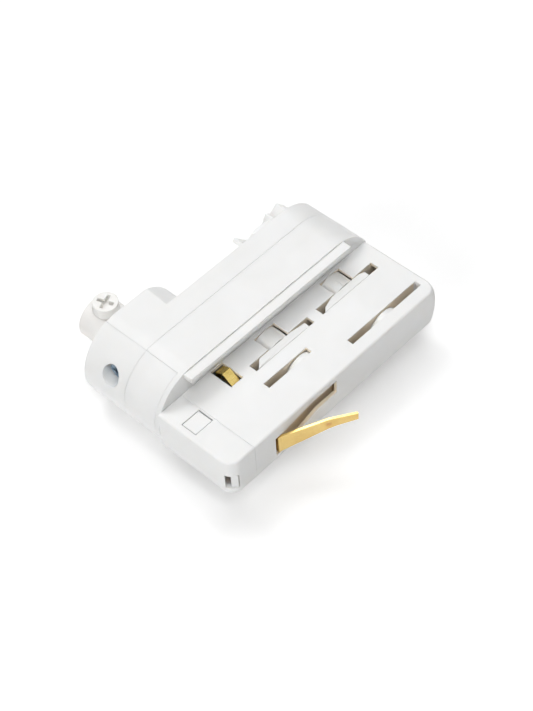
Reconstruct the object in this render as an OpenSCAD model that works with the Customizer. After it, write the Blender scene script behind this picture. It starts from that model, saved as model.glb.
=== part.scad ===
// Track light adapter: a slab that enters the track, a wide body under it and a nipple boss.
// Z points into the track, X runs along it, and the body's upper wall lies at Z = 0.

/* [Track slab] */
// Length of the slab that enters the track
slab_l = 100; // [100:1:104]
// Thickness of the slab across the slot of the track
slab_t = 15.5; // [15.4:0.1:15.8]
// Height of the slab above the body's upper wall
slab_h = 32.4; // [32.4:0.2:33.4]
// Radius of the slab's upper corner at the capped end
slab_r = 4.5; // [4:0.25:5]
// Radius of the slab's upper corner at the far end
far_r = 1.2; // [1.2:0.1:2]
// Rounding of the slab's outer edges
edge_r = 0.7; // [0.4:0.1:1]
// Thickness of the slab's side walls
side_wall = 1.5; // [1.4:0.05:1.5]
// Length of the snap-on cap that closes the slab's near end
cap_l = 11; // [10.5:0.5:11]

/* [Body] */
// Width of the body below the track
body_w = 34.2; // [33.8:0.2:35]
// Length of the body over its round ends
body_l = 102.6; // [102:0.2:104]
// Height of the collar, from the upper wall to the parting line
collar_h = 16.2; // [16:0.2:17]
// Height of the room cover below the parting line
cover_h = 8.7; // [8:0.1:9]
// Height of the raised pad on the room cover
pad_h = 10.3; // [10:0.1:11]
// Length of the raised pad over its round ends
pad_l = 42; // [41:0.2:42.4]
// Radius of the pad's far end
pad_end_r = 18.4; // [17.8:0.2:20]
// Length of the two end covers
end_l = 12.4; // [12.2:0.1:12.6]
// Wall thickness of the body's shells
shell_t = 2; // [1.8:0.1:2.2]
// Height of the two ribs that bear on the track
rib_h = 3.5; // [3:0.5:4]

/* [Nipple boss] */
// Diameter of the boss
boss_d = 16.2; // [14:0.2:16.4]
// Length of the boss below the pad
boss_l = 16.5; // [16:0.1:19]
// Core diameter of the M10 x 1 thread in the boss
nipple_d = 9; // [8.9:0.1:9.2]
// Head diameter of the nylon clamp screw
clamp_head_d = 9; // [7:0.5:9]

/* [Rotors] */
// Distance between the two rotor axes
rotor_pitch = 32.2; // [31.8:0.1:32.4]
// Reach of the locking cams from the rotor axis
cam_r = 14.9; // [14:0.1:14.9]
// Reach of the contact blades from the rotor axis
blade_r = 14.6; // [13:0.1:15]
// Radius of the selector knob's disc
knob_r = 11.5; // [10:0.5:12]

/* [Springs] */
// Width of the earth spring at its root
earth_w = 7.4; // [6.4:0.2:7.4]
// Length of the earth spring from its root to its tip
earth_l = 26.8; // [25:0.2:26.8]
// Angle between the earth spring and the slab
earth_rise = 30; // [27:1:32]

/* [Hidden] */
$fn = 96;

// Small distances: overlap where shapes fuse, overshoot of cuts, free gaps and the running fit
tiny = 0.02;
over = 1;
gap = 0.3;
narrow = 0.1;
running = 0.05;

// Walls and floors
top_wall = 1.5;
end_wall = 2;
rim_t = 1.9;
floor_t = 2.2;

// Slab
slab_x = slab_l / 2;
cap_x = -slab_x + cap_l;
half_t = slab_t / 2;
cavity_y = half_t - side_wall;
cavity_top = slab_h - top_wall;
corner_x = -slab_x + slab_r;
corner_z = slab_h - slab_r;

// Body
body_shift = 1;
body_r = body_w / 2;
body_x0 = body_shift - body_l / 2;
body_x1 = body_shift + body_l / 2;
seam_x = body_x0 + end_l;
part_z = -collar_h;
cover_z = part_z - cover_h;
pad_z = cover_z - pad_h;
pad_mid_x = body_x0 + pad_l - pad_end_r;

// Guide ribs
rib_t = 2.1;
rib_inset = 0.7;
rib_x0 = seam_x + 0.2;
rib_x1 = 40;
rib_y1 = body_r - rib_inset;
rib_y0 = rib_y1 - rib_t;

// Nipple boss and its clamp screw
boss_x = seam_x + 8.6;
boss_z = pad_z - boss_l;
boss_lip = 1.8;
clamp_z = pad_z - 0.618 * boss_l;
clamp_seat_y = boss_d / 2 - 1.2;
clamp_seat_gap = 0.4;
clamp_hole_r = 2.5;
clamp_head_h = 4.3;
clamp_lift = 0.25;
clamp_bite = 0.2;
clamp_turn = 20;
clamp_cross = [6, 1.3, 2];

// Rotor windows in the slab
rotor1_x = -2;
rotor2_x = rotor1_x + rotor_pitch;
bar_z0 = 8.1;
bar_z1 = 11.4;
bar_reach = 13.9;
stem_z0 = 1.4;
stem_half = 4.85;

// Locking cams, with the outlines (x, z) of their leading ends
cam_z0 = bar_z0 + gap;
cam_z1 = bar_z1 - narrow;
flat_y = half_t - narrow;
neutral_lead = [[-9.5, cam_z0], [-12.8, cam_z1]];
phase_lead = [[-6.5, cam_z0], [-11, cam_z0 + 1.4], [-12.7, cam_z1]];
neutral_trail = 11.5;
phase_trail = 9.3;
neutral_wedge_l = 6.5;
phase_wedge_l = 2.5;
wedge_h = 0.8;

// Contact slots in the slab and the discs that turn in them
slot_h = 2.5;
slot1_z = 16.8;
slot2_z = 25;
slot1_reach = 16.3;
slot2_reach = 17.1;
disc_r = half_t - 0.5;
disc_low = 0.45;
disc_high = 0.08;
slot1_far = sqrt(disc_r * disc_r - cavity_y * cavity_y) + gap;

// Insulating decks inside the slab
deck_t = 1;
deck_hole_r = 6.6;
earth_deck_x0 = -24;
earth_deck_x1 = 0.6;
earth_deck_z = 29.2;

// Rotor shafts, drums and bearings
shaft_r = 4;
shaft_end = 0.1;
neck_r = 4.6;
drum_r = cavity_y - 0.35;
drum_z0 = 0.6;
drum_gap = 0.4;
stem_r = half_t - 0.08;
stem_gap = 0.15;
journal_r = 3;
journal_gap = 0.2;
shelf_z0 = 22.4;
shelf_t = 2;
shelf_half = 9;
bearing_z0 = slab_h - 2.4;
bearing_half = 6;
bearing_depth = 1.2;
washer_r = 6.4;
washer_t = 0.5;
washer_gap = 0.2;
mark_w = 0.3;
mark_z0 = 4.8;
mark_depth = 0.25;

// Blades, their rods and slip rings
blade_t = 0.8;
blade_w = 4.4;
blade_tail = 2.5;
rod_r = 1;
stub_r = 0.6;
stub_l = shaft_r + 0.2;
ring_r = 5;
ring_z0 = -8;
ring_z1 = -4;
ring_mid = (ring_z0 + ring_z1) / 2;
rod_z0 = ring_z0 + 1;

// Selector knob, with the angle, width and reach of each wing, and dial on the room side
knob_h = 5;
knob_hub_r = 6;
knob_sink_r = 3.2;
wing_h = 7.2;
wing_r0 = 4.5;
fin_reach = knob_r + 1.2;
wing_foot = 2;
wings = [[43, 5.5, 16.2], [65, 1.7, fin_reach], [134, 1.7, 16.6]];
dial_r = 5.4;
dial_h = 2.4;
dial_slot_w = 1.4;
dial_slot_depth = 1.1;
dial_sink_r = 2.8;
dial_sink = 1;
hub_hole_r = 1.6;
hub_depth = 10;
hub_head_r = 2.6;
hub_head_t = 0.6;
hub_screw_l = 6;
knob_head_r = 2.9;
knob_head_t = 1.6;

// Side contact in its window
side_x0 = -26.1;
side_x1 = -20.6;
side_z0 = 0.4;
side_z1 = 9.8;
side_strip_x0 = -24.5;
brass_t = 0.5;
crest = [6.85, 4];
crest_r = 1.3;
crest_up = 34;
crest_down = 30;
side_up_l = 7.6;
side_down_l = 2.9;
side_root_r = 0.45;

// Earth spring, its slot in the slab's upper face and its strip
earth_t = 0.9;
earth_face = 0.3;
earth_x = -28.1;
earth_y = -1.35;
earth_z = slab_h - 0.2;
earth_root_r = 0.45;
earth_leg = 1.6;
earth_bend = 0.625 * earth_l;
earth_low = [[earth_bend, 1.4], [earth_bend + 3.2, 1.9], [earth_l, 2.15]];
earth_high = [[earth_l, 5.1], [earth_bend, 5.9]];
dimple_at = [earth_bend, 3.5];
dimple_r = 1.6;
dimple_depth = 0.35;
earth_slot = [
    [-29.6, -5.8], [-26, -5.8], [-10.2, -0.8], [-0.4, -0.8],
    [-0.4, 5.1], [-12.2, 5.1], [-26.2, 2.85], [-29.6, 2.85]
];
earth_strip_w = 4;
earth_strip_x = cap_x + 5.5;
earth_strip_z = cavity_top - 1.4;
earth_strip_end = earth_x + 3;

// Snap fits of the slab's end cap
snap_x0 = -slab_x + 2.4;
snap_x1 = cap_x - 0.6;
snap_z0 = 8.4;
snap_z1 = 14.8;
snap_gap = 0.2;
snap_seam = 0.45;
snap_sink = 0.15;
tongue_t = 1.3;
tongue_root = 4;
hook_y0 = -5.4;
hook_y1 = 1;
hook_half = 2.3;
hook_step = 0.4;
hook_sink = 0.5;
hook_arm = 2.2;

// Screw access hole in the room end cover
hole_r = 3.6;
hole_y = 7.4;
hole_z = -23.4;
hole_seat_x = seam_x - 4.5;
tube_r = 5.2;
screw_r = 1.45;
screw_play = 0.25;
screw_l = 10;
screw_head_r = 2.75;
screw_head_t = 2;
screw_cross = [3.8, 0.7, 1.2];
screw_post_r = 3;
screw_post_l = 7.5;
screw_web_t = 2;

// Terminals
term_ys = [-6, 0, 6];
term_half_w = 10;
term_x0 = seam_x - 6.3;
term_x1 = seam_x - 0.8;
term_z0 = -14;
term_wall = 0.8;
term_floor = 1.5;
term_roof = 3;
term_screw_z = term_z0 + 4.5;
term_hole_r = 2.3;
wire_r = 1.4;
wire_x = (term_x0 + term_x1) / 2 + term_wall;
wire_l = 3;
clamp_w = 4.6;
clamp_short = 0.4;
clamp_bore_r = 1.3;
strip_notch = 2;
term_head_r = 2.1;
term_head_t = 1.2;
term_shank_r = 1.25;
term_screw_l = 3;
term_out = 0.4;
term_slot_w = 0.6;
strip_lead = 1;
strip_past = 4;
strip_away = 2.5;

// Extrudes a (y, z) outline along X
module x_extrude(x0, x1) {
    translate([x0, 0, 0]) rotate([90, 0, 90]) linear_extrude(x1 - x0) children();
}

// Extrudes an (x, z) outline along Y
module y_extrude(y0, y1) {
    translate([0, y1, 0]) rotate([90, 0, 0]) linear_extrude(y1 - y0) children();
}

// Extrudes an (x, y) outline along Z
module z_extrude(z0, z1) {
    translate([0, 0, z0]) linear_extrude(z1 - z0) children();
}

// Box between two corners
module block(low, high) {
    translate(low) cube(high - low);
}

// Upright cylinder between two heights
module post(x, r, z0, z1) {
    translate([x, 0, z0]) cylinder(r = r, h = z1 - z0);
}

// Cylinder along X between two places
module rod_x(x0, x1, y, z, r) {
    translate([x0, y, z]) rotate([0, 90, 0]) cylinder(r = r, h = x1 - x0);
}

// Cylinder along Y between two places
module rod_y(y0, y1, x, z, r) {
    translate([x, y0, z]) rotate([-90, 0, 0]) cylinder(r = r, h = y1 - y0);
}

// Cross recess of a screw, sunk from z = 0 downwards
module cross_recess(size) {
    for (a = [0, 90])
        rotate(a) translate([-size.x / 2, -size.y / 2, -size.z]) cube([size.x, size.y, size.z + over]);
}

// Outline with two round ends, between x0 and x1
module stadium(x0, x1, r) {
    translate([x0 + r, -r]) square([x1 - x0 - 2 * r, 2 * r]);
    translate([x0 + r, 0]) circle(r);
    translate([x1 - r, 0]) circle(r);
}

// Outline of the body, drawn in by a wall thickness
module body_outline(inset) {
    stadium(body_x0 + inset, body_x1 - inset, body_r - inset);
}

// Outline of the raised pad, drawn in by a wall thickness
module pad_outline(inset) {
    intersection() {
        body_outline(inset);
        union() {
            translate([body_x0, -body_r]) square([pad_mid_x - body_x0, body_w]);
            translate([pad_mid_x, 0]) circle(pad_end_r - inset);
        }
    }
}

// Keeps what lies past the seam of the end covers
module past_seam(z0, z1) {
    intersection() {
        z_extrude(z0, z1) children();
        block([seam_x, -body_w, z0], [body_x1 + over, body_w, z1]);
    }
}

// Section of the slab's border, measured outwards from the centre of a corner of radius r
module border_section(r) {
    translate([0, -half_t]) square([r - edge_r, slab_t]);
    translate([0, -half_t + edge_r]) square([r, slab_t - 2 * edge_r]);
    intersection() {
        translate([0, -half_t]) square([r, slab_t]);
        for (s = [-1, 1])
            translate([r - edge_r, s * (half_t - edge_r)]) circle(edge_r);
    }
}

// Slab from a flat joint face at x = 0 to a rounded end at x = length
module rounded_slab(length, r) {
    flat_l = length - r;
    flat_h = slab_h - r;
    lap = (r - edge_r) / 2;
    block([0, -half_t, -rim_t], [flat_l + lap, half_t, flat_h + lap]);
    x_extrude(0, flat_l) translate([0, flat_h]) rotate(90) border_section(r);
    z_extrude(-rim_t, flat_h) translate([flat_l, 0]) border_section(r);
    translate([flat_l, 0, flat_h]) rotate([90, 0, 0]) rotate_extrude(angle = 90) border_section(r);
}

// Openings for one rotor on both sides: a bar for the cam and a stem that shows the drum
module rotor_window(x) {
    block([x - bar_reach, -half_t - over, bar_z0], [x + bar_reach, half_t + over, bar_z1]);
    block([x - stem_half, -half_t - over, stem_z0], [x + stem_half, half_t + over, bar_z0 + tiny]);
}

// Slot for a contact blade in the wall on one side, between two places along the slab
module blade_slot(x0, x1, z, side) {
    translate([x0, min(0, side * (half_t + over)), z]) cube([x1 - x0, half_t + over, slot_h]);
}

// Tongue of the housing with a barb that fills the cap's window
module snap_tongue() {
    tongue_y = cavity_y - gap;
    low_z = snap_z0 + snap_gap;
    high_z = snap_z1 - snap_gap;
    block([snap_x0 + snap_gap, tongue_y - tongue_t, low_z], [cap_x + tongue_root, tongue_y, high_z]);
    block([cap_x + gap, tongue_y - tiny, low_z], [cap_x + tongue_root, cavity_y + tiny, high_z]);
    block([snap_x0 + snap_gap, tongue_y - tiny, low_z], [snap_x1 - snap_seam, half_t - snap_sink, high_z]);
}

// Hook of the housing behind the window in the cap's rounded corner
module corner_hook() {
    low_y = hook_y0 + gap;
    high_y = hook_y1 - gap;
    arm_z1 = cavity_top - gap;
    block([corner_x, low_y, arm_z1 - hook_arm], [cap_x + tongue_root, high_y, arm_z1]);
    block([cap_x + gap, low_y, arm_z1 - tiny], [cap_x + tongue_root, high_y, cavity_top + tiny]);
    translate([corner_x, 0, corner_z]) rotate([0, -45, 0])
        block([-hook_step, low_y, 0], [hook_half - gap, high_y, slab_r - hook_sink]);
}

// Shelf or pad that carries the upper journal of one rotor
module journal_bearing(x, half_l, z0, z1) {
    difference() {
        block([x - half_l, -cavity_y - tiny, z0], [x + half_l, cavity_y + tiny, z1]);
        post(x, journal_r + running, z0 - over, z1 + over);
    }
}

// Insulating deck across the slab's inside, below a given height
module deck(x0, x1, z) {
    block([x0, -cavity_y - tiny, z - deck_t], [x1, cavity_y + tiny, z]);
}

// Decks that part the cams, the blades and the earth spring from each other
module insulating_decks() {
    far_x = slab_x - end_wall + tiny;
    deck(earth_deck_x0, earth_deck_x1, earth_deck_z);
    difference() {
        union() {
            deck(rotor1_x - bar_reach - over, far_x, bar_z0);
            deck(rotor1_x - slot1_reach - over, rotor1_x, slot1_z);
            deck(rotor2_x - slot2_reach - over, far_x, slot2_z);
        }
        for (x = [rotor1_x, rotor2_x]) {
            post(x, stem_r + gap, 0, bar_z1);
            post(x, deck_hole_r, bar_z1, slot2_z + over);
        }
    }
}

// Main moulding: slab, rim plate, collar walls, guide ribs, bearings and snap tongues
module track_housing() {
    color("whitesmoke") {
        difference() {
            union() {
                translate([cap_x, 0, 0]) rounded_slab(slab_x - cap_x, far_r);
                z_extrude(-rim_t, 0) body_outline(0);
                past_seam(part_z, -rim_t + tiny) body_outline(0);
                for (y = [-rib_y1, rib_y0])
                    block([rib_x0, y, -rim_t], [rib_x1, y + rib_t, rib_h]);
            }
            block([cap_x - over, -cavity_y, -tiny], [slab_x - end_wall, cavity_y, cavity_top]);
            block([cap_x, -cavity_y, -rim_t - over], [slab_x - end_wall, cavity_y, over]);
            past_seam(part_z - over, -rim_t) body_outline(shell_t);
            rotor_window(rotor1_x);
            rotor_window(rotor2_x);
            blade_slot(rotor1_x - slot1_reach, rotor1_x + slot1_far, slot1_z, 1);
            blade_slot(rotor1_x - slot1_far, rotor1_x + slot1_far, slot1_z, -1);
            for (s = [-1, 1])
                blade_slot(rotor2_x - slot2_reach, rotor2_x + slot2_reach, slot2_z, s);
            block([side_x0, 0, side_z0], [side_x1, half_t + over, side_z1]);
            z_extrude(cavity_top - over, slab_h + over) polygon(earth_slot);
            post(rotor2_x, journal_r + running, bearing_z0, bearing_z0 + bearing_depth);
        }
        journal_bearing(rotor1_x, shelf_half, shelf_z0, shelf_z0 + shelf_t);
        journal_bearing(rotor2_x, bearing_half, bearing_z0, cavity_top + tiny);
        insulating_decks();
        snap_tongue();
        mirror([0, 1, 0]) snap_tongue();
        corner_hook();
    }
}

// Cap that snaps over the near end of the slab
module slab_end_cap() {
    color("whitesmoke") difference() {
        translate([cap_x, 0, 0]) mirror([1, 0, 0]) rounded_slab(cap_l, slab_r);
        block([-slab_x - over, -half_t - over, -rim_t - over], [cap_x + over, half_t + over, 0]);
        block([corner_x, -cavity_y, end_wall], [cap_x + over, cavity_y, cavity_top]);
        block([-slab_x + end_wall, -cavity_y, end_wall], [cap_x, cavity_y, corner_z]);
        rod_y(-cavity_y, cavity_y, corner_x, corner_z, slab_r - end_wall);
        block([snap_x0, -half_t - over, snap_z0], [snap_x1, half_t + over, snap_z1]);
        translate([corner_x, 0, corner_z]) rotate([0, -45, 0])
            block([-hook_half, hook_y0, 0], [hook_half, hook_y1, slab_r + over]);
    }
}

// Round near end of the body between two heights, as a shell that is open along X
module end_shell(z0, z1, floor0, floor1) {
    difference() {
        intersection() {
            z_extrude(z0, z1) body_outline(0);
            block([body_x0 - over, -body_w, z0], [seam_x, body_w, z1]);
        }
        z_extrude(z0 + floor0, z1 - floor1) body_outline(shell_t);
    }
}

// Cover over the terminals, between the rim plate and the parting line
module collar_end_cover() {
    color("whitesmoke") end_shell(part_z, -rim_t, -over, -over);
}

// Lower end cover, with the sunk seat of its screw
module room_end_cover() {
    color("whitesmoke") difference() {
        union() {
            end_shell(pad_z, part_z, floor_t, -over);
            intersection() {
                z_extrude(pad_z, part_z) body_outline(0);
                rod_x(body_x0, seam_x, hole_y, hole_z, tube_r);
            }
        }
        rod_x(body_x0 - over, hole_seat_x, hole_y, hole_z, hole_r);
        rod_x(body_x0, seam_x + over, hole_y, hole_z, screw_r + screw_play);
    }
}

// Room-side cover with the raised pad, the hole for the nipple boss and the rotor bearings
module room_cover() {
    post_x1 = seam_x + screw_post_l;
    color("whitesmoke") difference() {
        union() {
            difference() {
                union() {
                    past_seam(cover_z, part_z) body_outline(0);
                    past_seam(pad_z, cover_z + tiny) pad_outline(0);
                }
                past_seam(cover_z + floor_t, part_z + over) body_outline(shell_t);
                past_seam(pad_z + floor_t, part_z) pad_outline(shell_t);
            }
            rod_x(seam_x, post_x1, hole_y, hole_z, screw_post_r);
            block([seam_x, hole_y, hole_z - screw_web_t / 2],
                  [post_x1, body_r - shell_t / 2, hole_z + screw_web_t / 2]);
        }
        post(boss_x, boss_d / 2, pad_z - over, pad_z + floor_t + over);
        for (x = [rotor1_x, rotor2_x])
            post(x, shaft_r + running, cover_z - over, cover_z + floor_t + over);
        rod_x(seam_x - over, post_x1 - over, hole_y, hole_z, screw_r + running);
    }
}

// Threaded boss that stands out of the pad and bears on it from inside with a flange
module nipple_boss() {
    flange_z = pad_z + floor_t;
    color("ivory") difference() {
        union() {
            post(boss_x, boss_d / 2, boss_z, flange_z + tiny);
            post(boss_x, boss_d / 2 + boss_lip, flange_z, flange_z + boss_lip);
        }
        post(boss_x, nipple_d / 2, boss_z - over, flange_z + boss_lip + over);
        rod_y(0, boss_d, boss_x, clamp_z, clamp_hole_r);
        rod_y(clamp_seat_y, boss_d, boss_x, clamp_z, clamp_head_d / 2 + clamp_seat_gap);
    }
}

// Zinc-plated screw that holds the room end cover
module end_cover_screw() {
    color("lightsteelblue") translate([hole_seat_x, hole_y, hole_z]) rotate([0, -90, 0]) difference() {
        union() {
            cylinder(r = screw_head_r, h = screw_head_t);
            translate([0, 0, -screw_l]) cylinder(r = screw_r, h = screw_l + tiny);
        }
        translate([0, 0, screw_head_t]) cross_recess(screw_cross);
    }
}

// Nylon screw that clamps the nipple in the boss
module nipple_clamp_screw() {
    shank_l = clamp_seat_y - nipple_d / 2 + clamp_bite;
    under_y = clamp_seat_y + clamp_lift;
    color("ivory") translate([boss_x, under_y, clamp_z]) rotate([-90, clamp_turn, 0]) difference() {
        union() {
            cylinder(r = clamp_head_d / 2, h = clamp_head_h);
            translate([0, 0, -shank_l]) cylinder(r = clamp_hole_r - running, h = shank_l + tiny);
        }
        translate([0, 0, clamp_head_h]) cross_recess(clamp_cross);
    }
}

// Locking cam: a plate with two flats, its leading ends cut to an outline (x, z), its trailing ends square
module locking_cam(lead, trail, wedge_l) {
    lead_x1 = lead[len(lead) - 1].x;
    difference() {
        intersection() {
            post(0, cam_r, cam_z0, cam_z1);
            block([-cam_r, -flat_y, cam_z0], [cam_r, flat_y, cam_z1]);
        }
        for (a = [0, 180])
            rotate(a) y_extrude(0, cam_r) {
                polygon(concat(
                    [[-cam_r - over, cam_z0 - over], [lead[0].x, cam_z0 - over]], lead,
                    [[lead_x1, cam_z1 + over], [-cam_r - over, cam_z1 + over]]
                ));
                polygon([
                    [trail - wedge_l, cam_z0], [trail - wedge_l, cam_z0 - over],
                    [cam_r + over, cam_z0 - over], [cam_r + over, cam_z1 + over],
                    [trail, cam_z1 + over], [trail, cam_z0 + wedge_h]
                ]);
            }
    }
}

// Rotor about its own axis: shaft, drum, stem drum and the disc that carries the blade
module rotor_body(disc_z, drum_top, journal_top) {
    blade_z = disc_z + slot_h / 2 - blade_t / 2;
    difference() {
        union() {
            post(0, shaft_r, cover_z - shaft_end, part_z);
            post(0, neck_r, cover_z + floor_t + washer_t + washer_gap, ring_z0);
            post(0, shaft_r, ring_z0 - tiny, ring_z1 + tiny);
            post(0, neck_r, ring_z1, drum_z0 + tiny);
            post(0, drum_r, drum_z0, drum_top);
            post(0, stem_r, stem_z0 + stem_gap, bar_z0 - running);
            post(0, disc_r, disc_z + disc_low, disc_z + slot_h - disc_high);
            post(0, journal_r, drum_top - tiny, journal_top);
            children();
        }
        post(0, rod_r, rod_z0, blade_z + tiny);
        post(0, hub_hole_r, cover_z - over, cover_z + hub_depth);
        block([-2 * disc_r, -blade_w / 2, blade_z], [blade_tail, blade_w / 2, blade_z + blade_t]);
        rod_y(0, ring_r, 0, ring_mid, stub_r);
    }
}

// Contact blade with its rod down the rotor and the stub that meets the ring
module blade_body(disc_z) {
    blade_z = disc_z + slot_h / 2 - blade_t / 2;
    tip_r = blade_w / 2;
    z_extrude(blade_z, blade_z + blade_t) {
        translate([tip_r - blade_r, -tip_r]) square([blade_r - tip_r + blade_tail, blade_w]);
        translate([tip_r - blade_r, 0]) circle(tip_r);
    }
    post(0, rod_r, rod_z0, blade_z + tiny);
    rod_y(0, stub_l, 0, ring_mid, stub_r);
}

// Slip ring about the rotor's shaft
module slip_ring() {
    difference() {
        post(0, ring_r, ring_z0, ring_z1);
        post(0, shaft_r, ring_z0 - over, ring_z1 + over);
        rod_y(0, stub_l, 0, ring_mid, stub_r);
    }
}

// Rotor nearest the boss, which locks the adapter and carries the neutral blade
module neutral_rotor() {
    color("white") translate([rotor1_x, 0, 0])
        rotor_body(slot1_z, shelf_z0 - drum_gap, shelf_z0 + shelf_t - journal_gap)
            locking_cam(neutral_lead, neutral_trail, neutral_wedge_l);
}

// Neutral contact blade, with its single arm towards the boss end
module neutral_blade() {
    color("goldenrod") translate([rotor1_x, 0, 0]) blade_body(slot1_z);
}

// Slip ring of the neutral rotor
module neutral_ring() {
    color("gold") translate([rotor1_x, 0, 0]) slip_ring();
}

// Flush dial that turns the neutral rotor with a coin
module neutral_dial() {
    color("whitesmoke") translate([rotor1_x, 0, cover_z - shaft_end - dial_h]) difference() {
        cylinder(r = dial_r, h = dial_h);
        block([-dial_r, -dial_slot_w / 2, -over], [dial_r, dial_slot_w / 2, dial_slot_depth]);
        post(0, hub_hole_r + running, -over, dial_h + over);
        post(0, dial_sink_r, -over, dial_sink);
    }
}

// Screw that holds the dial on its rotor
module dial_screw() {
    seat_z = cover_z - shaft_end - dial_h + dial_sink;
    color("silver") translate([rotor1_x, 0, 0]) {
        post(0, hub_head_r, seat_z - hub_head_t, seat_z);
        post(0, hub_hole_r - running, seat_z - tiny, cover_z + hub_screw_l);
    }
}

// Rotor at the far end, which locks the adapter and carries the phase blade, with an index mark
module phase_rotor() {
    color("white") translate([rotor2_x, 0, 0]) difference() {
        rotor_body(slot2_z, bearing_z0 - drum_gap, bearing_z0 + bearing_depth - journal_gap)
            locking_cam(phase_lead, phase_trail, phase_wedge_l);
        block([-mark_w / 2, stem_r - mark_depth, mark_z0], [mark_w / 2, stem_r + over, bar_z0]);
    }
}

// Phase contact blade
module phase_blade() {
    color("goldenrod") translate([rotor2_x, 0, 0]) blade_body(slot2_z);
}

// Slip ring of the phase rotor
module phase_ring() {
    color("gold") translate([rotor2_x, 0, 0]) slip_ring();
}

// Sector of a ring between two angles
module ring_sector(a0, a1, r0, r1) {
    far = 2 * r1;
    intersection() {
        difference() {
            circle(r1);
            circle(r0);
        }
        polygon([[0, 0], [far * cos(a0), far * sin(a0)], [far * cos(a1), far * sin(a1)]]);
    }
}

// Selector knob on the phase rotor: a disc with a broad finger wing and two thin fins
module selector_knob() {
    top = cover_z - shaft_end;
    disc_z1 = cover_z - gap;
    disc_z0 = disc_z1 - knob_h;
    seat_z = cover_z - knob_h + knob_head_t;
    color("whitesmoke") translate([rotor2_x, 0, 0]) difference() {
        union() {
            post(0, knob_r, disc_z0, disc_z1);
            post(0, knob_hub_r, disc_z1 - tiny, top);
            for (w = wings)
                rotate(w[0])
                    block([wing_r0, -w[1] / 2, top - wing_h], [w[2], w[1] / 2, disc_z1 - wing_foot]);
        }
        post(0, knob_sink_r, disc_z0 - over, seat_z);
        post(0, hub_hole_r + running, disc_z0, top + over);
    }
}

// Screw that holds the knob on its rotor
module knob_screw() {
    seat_z = cover_z - knob_h + knob_head_t;
    color("silver") translate([rotor2_x, 0, 0]) {
        post(0, knob_head_r, seat_z - knob_head_t, seat_z);
        post(0, hub_hole_r - running, seat_z - tiny, cover_z + hub_screw_l);
    }
}

// Thin washers between the rotors' shoulders and the room cover
module thrust_washers() {
    color("tan") for (x = [rotor1_x, rotor2_x])
        difference() {
            post(x, washer_r, cover_z + floor_t, cover_z + floor_t + washer_t);
            post(x, shaft_r + washer_gap, cover_z, cover_z + floor_t + over);
        }
}

// Outline of a strip of even thickness along a row of points
module ribbon(points, t) {
    for (i = [0 : len(points) - 2])
        let (d = points[i + 1] - points[i])
            translate(points[i]) rotate(atan2(d.y, d.x)) translate([0, -t / 2]) square([norm(d), t]);
    for (i = [1 : 1 : len(points) - 2])
        translate(points[i]) circle(t / 2);
}

// Earth spring: a flat brass arm with a dimple, on a rolled root that stands in the slab's upper face
module earth_spring() {
    half_w = earth_w / 2;
    color("gold") translate([earth_x, earth_y, earth_z]) {
        rotate([0, -earth_rise, 0]) difference() {
            z_extrude(earth_face - earth_t, earth_face)
                polygon(concat([[0, -half_w]], earth_low, earth_high, [[0, half_w]]));
            translate([dimple_at.x, dimple_at.y, earth_face + dimple_r - dimple_depth]) sphere(dimple_r);
        }
        rod_y(-half_w, half_w, 0, 0, earth_root_r);
        block([-earth_t / 2, -half_w, -earth_leg], [earth_t / 2, half_w, 0]);
    }
}

// Fixed brass strip from the earth terminal up to the root of the earth spring
module earth_strip() {
    color("gold") y_extrude(-earth_strip_w / 2, earth_strip_w / 2) ribbon([
        [term_x1 - strip_lead, ring_mid], [earth_strip_x, ring_mid], [earth_strip_x, earth_strip_z],
        [earth_strip_end, earth_strip_z]
    ], brass_t);
}

// Side contact: a brass strip on a rolled root, folded to a rounded crest that stands in its window
module side_contact() {
    line_r = crest_r - brass_t / 2;
    upper = crest + line_r * [cos(crest_up), sin(crest_up)];
    lower = crest + line_r * [cos(crest_down), -sin(crest_down)];
    root = upper + side_up_l * [-sin(crest_up), cos(crest_up)];
    foot = lower + side_down_l * [-sin(crest_down), -cos(crest_down)];
    color("goldenrod") x_extrude(side_strip_x0, side_x1 - gap) {
        translate(crest) ring_sector(-crest_down, crest_up, crest_r - brass_t, crest_r);
        ribbon([upper, root], brass_t);
        ribbon([lower, foot], brass_t);
        translate(root) circle(side_root_r);
    }
}

// Conductor strip along the collar from a terminal to a slip ring
module conductor(points) {
    z_extrude(ring_z0 + strip_lead, ring_z1 - strip_lead) ribbon(points, brass_t);
}

// Strip from the neutral terminal to the neutral slip ring
module neutral_strip() {
    y = ring_r + narrow + brass_t / 2;
    color("gold") conductor([[term_x1 - strip_lead, y], [rotor1_x, y], [rotor1_x + strip_past, y]]);
}

// Strip from the phase terminal past the neutral rotor to the phase slip ring
module phase_strip() {
    y = -ring_r - narrow - brass_t / 2;
    away_y = y - strip_away;
    color("gold") conductor([
        [term_x1 - strip_lead, away_y], [rotor1_x + 2 * ring_r, away_y], [rotor2_x - 2 * shaft_r, y],
        [rotor2_x + strip_past, y]
    ]);
}

// Space of one terminal's clamp, up to a given end
module clamp_space(y, x1) {
    block([term_x0 + term_wall, y - clamp_w / 2, term_z0 + term_floor],
          [x1, y + clamp_w / 2, -rim_t - term_roof]);
}

// Wire entry from below into one terminal
module wire_entry(y, l) {
    translate([wire_x, y, term_z0 - over]) cylinder(r = wire_r, h = l + over);
}

// Insulating block that holds the terminal clamps under the rim plate
module terminal_block() {
    color("white") difference() {
        block([term_x0, -term_half_w, term_z0], [term_x1, term_half_w, -rim_t]);
        for (y = term_ys) {
            clamp_space(y, term_x1 + over);
            rod_x(term_x0 - over, term_x0 + term_wall + over, y, term_screw_z, term_hole_r);
            wire_entry(y, wire_l);
        }
    }
}

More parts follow.
